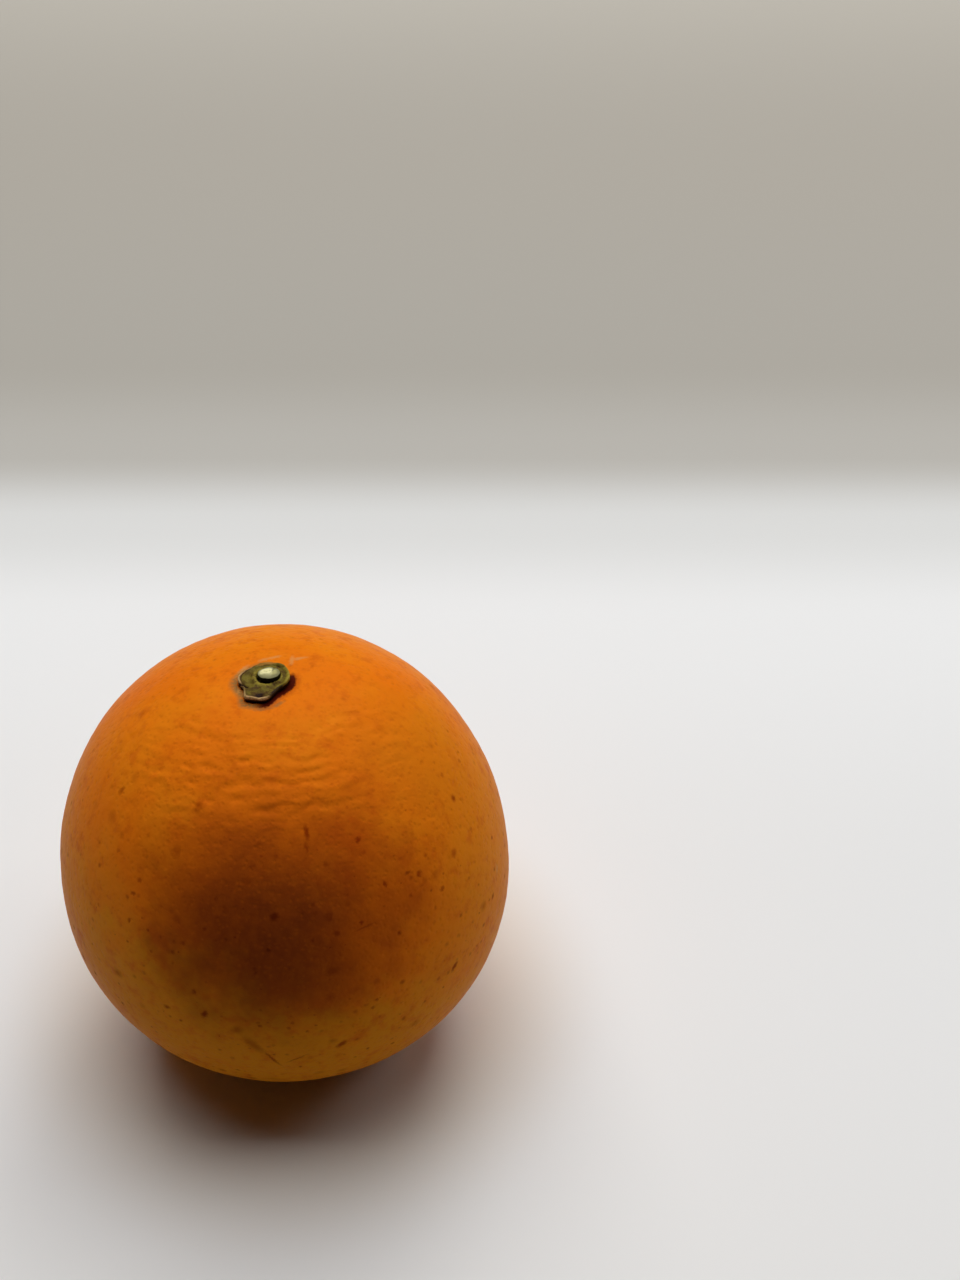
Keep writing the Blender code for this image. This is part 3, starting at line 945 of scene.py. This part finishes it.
def calyx_material():
    """Dried sepal: olive with brown spots, papery at the front left, with painted highlights at the collar
    and right and painted shade in its groove, along the overlap, on its sides and at its front right edge.
    """
    material, tree, shader, place = new_material("dried calyx", Specular_IOR_Level=0.08)
    kept = [add_node(tree, "Attribute", attribute_name=name).outputs["Fac"] for name in CALYX_ATTRIBUTES]
    rim, side, dry, bright, overlap, dark, tan = kept

    colour = paint(tree, patches(tree, place, *OLIVE_PATCHES), OLIVE_DARK, OLIVE)
    # Painted highlights on the collar and the right edge
    inner = times(tree, fade(tree, rim, *LIGHT_INSIDE_END), mottle(tree, place, LIGHT_INSIDE_NOISE))
    outer = times(tree, fade(tree, rim, *LIGHT_OUTSIDE), bright)
    strong = times(tree, outer, LIGHT_OUTSIDE_STRENGTH)
    crest = reckon(tree, "MAXIMUM", fade(tree, inner, *LIGHT_INSIDE), strong)
    colour = paint(tree, crest, colour, OLIVE_HIGHLIGHT)
    spots = patches(tree, place, *BROWN_PATCHES)
    spots = times(tree, spots, reckon(tree, "SUBTRACT", 1.0, outer))
    colour = paint(tree, spots, colour, BROWN_SPOT_AND_SHADE)
    colour = paint(tree, fade(tree, waver(tree, tan, place, *TAN_WAVER), *TAN_FADE), colour, TAN)

    # Painted shade in the groove
    from_groove = reckon(tree, "ABSOLUTE", reckon(tree, "SUBTRACT", rim, GROOVE_PLACE[0]))
    groove = times(tree, fade(tree, from_groove, *GROOVE_SHADE), dry)
    colour = paint(tree, groove, colour, BROWN_SPOT_AND_SHADE)
    level = reckon_vector(tree, "MULTIPLY", place, (1.0, 1.0, 0.0))
    hollow_middle = spot_of_calyx(*HOLLOW_PLACE) * 1000.0
    from_hollow = reckon_vector(tree, "DISTANCE", level, hollow_middle, result=1)
    from_hollow = waver(tree, from_hollow, place, *HOLLOW_WAVER)
    colour = paint(tree, fade(tree, from_hollow, *HOLLOW_BROWN), colour, BROWN_SPOT_AND_SHADE)
    colour = paint(tree, fade(tree, from_hollow, *HOLLOW_BLACK), colour, NEARLY_BLACK)

    worn = fade(tree, mottle(tree, place, PAPERY_NOISE), *PAPERY_WEAR)
    papery = times(tree, fade(tree, rim, *PAPERY_RIM), fade(tree, dry, *PAPERY_DRYNESS), worn)
    colour = paint(tree, papery, colour, PAPERY)
    # Painted shade at the front right edge, along the overlap and on the sides
    dark = waver(tree, dark, place, *DARK_WAVER)
    colour = paint(tree, fade(tree, dark, *DARK_FADE), colour, NEARLY_BLACK)
    colour = paint(tree, fade(tree, overlap, *OVERLAP_SHADE), colour, NEARLY_BLACK)
    colour = paint(tree, fade(tree, side, *SIDE_SHADE), colour, NEARLY_BLACK)

    rough = between(tree, mottle(tree, place, CALYX_ROUGHNESS_NOISE), *CALYX_ROUGHNESS)
    grain = times(tree, mottle(tree, place, *CALYX_GRAIN), CALYX_GRAIN_HEIGHT)
    link_looks(tree, shader, colour, rough, grain)
    return material


make_piece("dried_calyx", build_calyx(), "calyx", calyx_material(), sharp_deg=70.0)


# Stub of the stalk
# The woody end that stays on the fruit when it is clipped from the tree. Its cut face is pale wood with a
# darker split, with painted shade at its rim, its front and along the split, and its dark olive bark is
# painted nearly black as shade.

STUB_NECK_RADIUS = 0.00142
STUB_HEAD_RADIUS = 0.00170
STUB_ABOVE_SKIN = 0.00158
STUB_ASIDE = 0.00010
STUB_ROOT_IN_PIT = 0.0009
STUB_HEAD_RISE = 0.0007
STUB_CUT_TILT_DEG = -9.5
STUB_CUT_DOME = 0.00022
STUB_CUT_RINGS = (0.90, 0.78, 0.64, 0.48, 0.30, 0.15)
STUB_SIDES = 56
STUB_SPLIT_PLACE = 0.00062
STUB_SPLIT_WIDTH = 0.00014
STUB_SPLIT_DEPTH = 0.00014
STUB_SPLIT_FRONT = (-0.0004, 0.0006)
STUB_WOBBLE = 0.05
STUB_WOBBLES_PER_METRE = Vector((900.0, 900.0, 500.0))
STUB_CHIPS = 0.00007
STUB_CHIPS_PER_METRE = 1500.0

# Outline of the head from the neck up: share of its rise, and how much it widens there
STUB_HEAD_OUTLINE = ((0.3, STUB_HEAD_RADIUS / STUB_NECK_RADIUS), (0.5, 1.0), (0.15, 0.985), (0.05, 0.95))

FRESH_CUT = (0.86, 0.79, 0.4, 1.0)
CUT_SHADE = (0.4, 0.36, 0.13, 1.0)
# Painted shade at the rim, the front and the split of the cut
CUT_PAINTED_SHADE = (0.2, 0.185, 0.08, 1.0)
# Bark, painted nearly black as the shade on the stub's side
BARK_AND_SHADE = (0.016, 0.012, 0.002, 1.0)

# Its patches, as for the peel, how far the faces of its cut turn up, and its fades in millimetres with
# their strengths
WOOD_PATCHES = (0.5, 3.0, 0.5, 0.45, 0.75, 0.7)
CUT_FACES_UP = (0.45, 0.85)
# Painted shade along the split, at the front and at the rim of the cut
SPLIT_SHADE = (0.03, 0.22, 1.0, 0.0)
SPLIT_SHADE_FRONT = (-0.3, 0.6)
SPLIT_SHADE_STRENGTH = 0.85
RIGHT_SHADE = (0.45, 0.80, 0.0, 0.85)
FRONT_SHADE = (-1.0, -0.1, 0.8, 0.0)
RIM_SHADE = (1.00, 1.55, 0.0, 0.9)
STUB_ROUGHNESS = (0.35, 0.65)
STUB_ROUGHNESS_NOISE = 0.4
STUB_GRAIN = (0.3, 3.0)
STUB_GRAIN_HEIGHT = 0.05


def build_stub():
    """A peg with a head a little wider than its neck, cut across at a slant, worn at its edge and split."""
    skin = skin_height(0.0, 0.0)
    root = skin - STUB_ROOT_IN_PIT
    neck_top = skin + STUB_ABOVE_SKIN - STUB_HEAD_RISE
    shape = bmesh.new()
    bmesh.ops.create_cone(
        shape,
        cap_ends=True,
        segments=STUB_SIDES,
        radius1=STUB_NECK_RADIUS,
        radius2=STUB_NECK_RADIUS,
        depth=neck_top - root,
        matrix=Matrix.Translation((0.0, 0.0, (neck_top + root) / 2)),
    )
    cut = max(shape.faces, key=lambda face: face.calc_center_median().z)
    for rise, widen in STUB_HEAD_OUTLINE:
        cut = bmesh.ops.extrude_discrete_faces(shape, faces=[cut])["faces"][0]
        bmesh.ops.scale(shape, vec=(widen, widen, 1.0), verts=cut.verts[:])
        bmesh.ops.translate(shape, vec=(0.0, 0.0, rise * STUB_HEAD_RISE), verts=cut.verts[:])
    reach = 1.0
    for ring in STUB_CUT_RINGS:
        cut = bmesh.ops.extrude_discrete_faces(shape, faces=[cut])["faces"][0]
        bmesh.ops.scale(shape, vec=(ring / reach, ring / reach, 1.0), verts=cut.verts[:])
        reach = ring
    bmesh.ops.poke(shape, faces=[cut])
    lean = math.tan(math.radians(STUB_CUT_TILT_DEG))
    for vertex in shape.verts:
        above = ease(neck_top, skin + STUB_ABOVE_SKIN, vertex.co.z)
        wobble = 1 + STUB_WOBBLE * noise.noise(vertex.co * STUB_WOBBLES_PER_METRE)
        split = hump(vertex.co.x, STUB_SPLIT_PLACE, STUB_SPLIT_WIDTH) * ease(*STUB_SPLIT_FRONT, vertex.co.y)
        chipped = STUB_CHIPS * noise.noise(vertex.co * STUB_CHIPS_PER_METRE)
        rounded = STUB_CUT_DOME * (1 - (vertex.co.xy.length / STUB_HEAD_RADIUS) ** 2)
        vertex.co.z += above * (lean * vertex.co.y - STUB_SPLIT_DEPTH * split + chipped + rounded)
        vertex.co.x *= wobble
        vertex.co.y *= wobble
        vertex.co += FRUIT_MIDDLE + Vector((STUB_ASIDE, 0.0, 0.0))
    bmesh.ops.recalc_face_normals(shape, faces=shape.faces[:])
    return shape


def stub_material():
    """Fresh pale wood with painted shade at its rim, its front and along the split, on dark bark painted
    nearly black as shade.
    """
    material, tree, shader, place = new_material("cut stalk", Specular_IOR_Level=0.10)
    axes = add_node(tree, "SeparateXYZ", {"Vector": place}).outputs
    normal = tree.nodes.new("ShaderNodeNewGeometry").outputs["Normal"]
    facing_up = add_node(tree, "SeparateXYZ", {"Vector": normal}).outputs["Z"]
    level = reckon_vector(tree, "MULTIPLY", place, (1.0, 1.0, 0.0))
    out = reckon_vector(tree, "LENGTH", level, result=1)

    wood = paint(tree, patches(tree, place, *WOOD_PATCHES), FRESH_CUT, CUT_SHADE)
    wood = paint(tree, fade(tree, axes["X"], *RIGHT_SHADE), wood, CUT_SHADE)
    wood = paint(tree, fade(tree, axes["Y"], *FRONT_SHADE), wood, CUT_PAINTED_SHADE)
    wood = paint(tree, fade(tree, out, *RIM_SHADE), wood, CUT_PAINTED_SHADE)
    from_split = reckon(tree, "ABSOLUTE", reckon(tree, "SUBTRACT", axes["X"], 1000 * STUB_SPLIT_PLACE))
    split = times(tree, fade(tree, from_split, *SPLIT_SHADE), fade(tree, axes["Y"], *SPLIT_SHADE_FRONT))
    wood = paint(tree, times(tree, split, SPLIT_SHADE_STRENGTH), wood, CUT_PAINTED_SHADE)
    colour = paint(tree, fade(tree, facing_up, *CUT_FACES_UP), BARK_AND_SHADE, wood)

    rough = between(tree, mottle(tree, place, STUB_ROUGHNESS_NOISE), *STUB_ROUGHNESS)
    grain = times(tree, mottle(tree, place, *STUB_GRAIN), STUB_GRAIN_HEIGHT)
    link_looks(tree, shader, colour, rough, grain)
    return material


make_piece("cut_stub", build_stub(), "stem_stub", stub_material(), sharp_deg=60.0)


# Floor
# A pale sheet that the fruit stands on. Painted shade darkens it to a warm grey some way behind the fruit,
# and a painted glow of the peel's own colour makes it a little warmer close round it.

FLOOR_HALF_SIZE = 3.0
FLOOR_ROUGHNESS = 0.9
FLOOR_SPECULAR = 0.05
FLOOR_BOUNCE = (0.78, 0.77, 0.75, 1.0)
FLOOR_BOUNCE_FRONT = (0.47, 0.47, 0.47, 1.0)
# Painted glow of the peel's colour reflected onto the floor round the fruit
FLOOR_PAINTED_GLOW = (0.95, 0.9, 0.83, 1.0)
FLOOR_WARM_BEGIN = (0.022, 0.034)
FLOOR_WARM_END = (0.034, 0.056)
FLOOR_FRONT_SECTOR = (0.35, 0.90)

# Shades of the floor, painted light and shade that is brightest a little behind the fruit and darker
# farther back: how far behind the fruit, and colour
FLOOR_SHADES = (
    (-0.6, (0.82, 0.8, 0.76)),
    (-0.12, (0.82, 0.808, 0.79)),
    (0.02, (0.84, 0.838, 0.83)),
    (0.11, (0.88, 0.88, 0.875)),
    (0.15, (0.75, 0.75, 0.735)),
    (0.185, (0.5, 0.48, 0.44)),
    (0.24, (0.43, 0.405, 0.36)),
    (0.42, (0.43, 0.4, 0.35)),
    (0.8, (0.52, 0.49, 0.43)),
)


def build_floor():
    """One large square with painted light and shade from front to back, which throws a darker shade back on
    the fruit.
    """
    shape = bmesh.new()
    bmesh.ops.create_grid(shape, x_segments=1, y_segments=1, size=FLOOR_HALF_SIZE)
    mesh = bpy.data.meshes.new("floor")
    shape.to_mesh(mesh)
    shape.free()
    material = bpy.data.materials.new("pale floor")
    material.use_nodes = True
    tree = material.node_tree
    shader = tree.nodes["Principled BSDF"]
    shader.inputs["Roughness"].default_value = FLOOR_ROUGHNESS
    shader.inputs["Specular IOR Level"].default_value = FLOOR_SPECULAR
    place = tree.nodes.new("ShaderNodeTexCoord").outputs["Object"]
    depth = add_node(tree, "SeparateXYZ", {"Vector": place}).outputs["Y"]
    nearest = FLOOR_SHADES[0][0]
    farthest = FLOOR_SHADES[-1][0]
    span = {"Value": depth, "From Min": nearest, "From Max": farthest}
    ramp = add_node(tree, "ValToRGB", {"Fac": add_node(tree, "MapRange", span).outputs["Result"]})
    ramp.color_ramp.interpolation = "EASE"
    stops = ramp.color_ramp.elements
    stops.remove(stops[1])
    for index, (depth_here, colour) in enumerate(FLOOR_SHADES):
        position = (depth_here - nearest) / (farthest - nearest)
        stop = stops[0] if index == 0 else stops.new(position)
        stop.color = (*colour, 1.0)
    # Painted glow of the peel's colour round the fruit
    out = reckon_vector(tree, "LENGTH", place, result=1)
    near_fruit = times(tree, fade(tree, out, *FLOOR_WARM_END, 1.0, 0.0), fade(tree, out, *FLOOR_WARM_BEGIN))
    colour = paint(tree, near_fruit, ramp.outputs["Color"], FLOOR_PAINTED_GLOW, blend="MULTIPLY")
    way = reckon_vector(tree, "NORMALIZE", place)
    to_front = reckon_vector(tree, "DOT_PRODUCT", way, (0.0, -1.0, 0.0), result=1)
    bounce = paint(tree, fade(tree, to_front, *FLOOR_FRONT_SECTOR), FLOOR_BOUNCE, FLOOR_BOUNCE_FRONT)
    seen = tree.nodes.new("ShaderNodeLightPath").outputs["Is Camera Ray"]
    tree.links.new(paint(tree, seen, bounce, colour), shader.inputs["Base Color"])
    mesh.materials.append(material)
    return add_object("floor", mesh)


build_floor()


# Light
# One very large soft source above the fruit and behind it, and two small ones lower down, behind and at the
# right. The room is dark in front and a little lighter behind, and the camera sees a plain backdrop.

# Softboxes: name, elevation and turn in degrees, distance and size in metres, power in watts
SOFTBOXES = (
    ("overhead", 71.0, 90.0, 2.5, 2.66, 71.0),
    ("back", 40.0, 75.0, 2.5, 0.80, 6.0),
    ("right", 40.0, 15.0, 2.5, 0.80, 5.0),
)


def add_softbox(name, elevation_deg, turn_deg, distance, size, watts):
    """A square light that faces the fruit from a direction."""
    elevation = math.radians(elevation_deg)
    turn = math.radians(turn_deg)
    out = math.cos(elevation)
    direction = Vector((out * math.cos(turn), out * math.sin(turn), math.sin(elevation)))
    light = bpy.data.lights.new(name, "AREA")
    light.shape = "SQUARE"
    light.size = size
    light.energy = watts
    lamp = add_object(name, light)
    lamp.location = FRUIT_MIDDLE + direction * distance
    lamp.rotation_euler = direction.to_track_quat("Z", "Y").to_euler()
    lamp.visible_camera = False


for softbox in SOFTBOXES:
    add_softbox(*softbox)

ROOM_FRONT = (0.003, 0.003, 0.003, 1.0)
ROOM_BACK = (0.03, 0.03, 0.03, 1.0)
ROOM_BORDER = (-0.5, 0.6)
BACKDROP = (0.5, 0.47, 0.42, 1.0)

world = bpy.data.worlds.new("room")
world.use_nodes = True
bpy.context.scene.world = world
room = world.node_tree
direction = room.nodes.new("ShaderNodeTexCoord").outputs["Generated"]
behind = add_node(room, "SeparateXYZ", {"Vector": direction}).outputs["Y"]
room_light = paint(room, fade(room, behind, *ROOM_BORDER), ROOM_FRONT, ROOM_BACK)
seen = room.nodes.new("ShaderNodeLightPath").outputs["Is Camera Ray"]
room.links.new(paint(room, seen, room_light, BACKDROP), room.nodes["Background"].inputs["Color"])


# Camera
# It looks down at the fruit from the front, with the fruit at the lower left of an upright picture. The
# place of the fruit's middle in the picture and its distance set where the camera stands.

PICTURE_WIDTH = 960
PICTURE_HEIGHT = 1280
FOCAL_PIXELS = 1500
SENSOR = 36.0
LOOK_DOWN_DEG = 37.6
FRUIT_PIXEL = (287.5, 848.0)
FRUIT_DISTANCE = 6.888 * MEAN_RADIUS

pitch = math.radians(LOOK_DOWN_DEG)
forward = Vector((0.0, math.cos(pitch), -math.sin(pitch)))
down = Vector((0.0, -math.sin(pitch), -math.cos(pitch)))
right = Vector((1.0, 0.0, 0.0))
aside = right * (FRUIT_PIXEL[0] - PICTURE_WIDTH / 2) / FOCAL_PIXELS
below = down * (FRUIT_PIXEL[1] - PICTURE_HEIGHT / 2) / FOCAL_PIXELS
to_fruit = forward + aside + below

lens = bpy.data.cameras.new("camera")
lens.sensor_width = SENSOR
lens.lens = SENSOR * FOCAL_PIXELS / PICTURE_HEIGHT
lens.clip_start = 0.01
lens.clip_end = 20.0
camera = add_object("camera", lens)
camera.location = FRUIT_MIDDLE - to_fruit.normalized() * FRUIT_DISTANCE
camera.rotation_euler = (math.radians(90.0 - LOOK_DOWN_DEG), 0.0, 0.0)
bpy.context.scene.camera = camera
bpy.context.scene.view_settings.view_transform = "Standard"
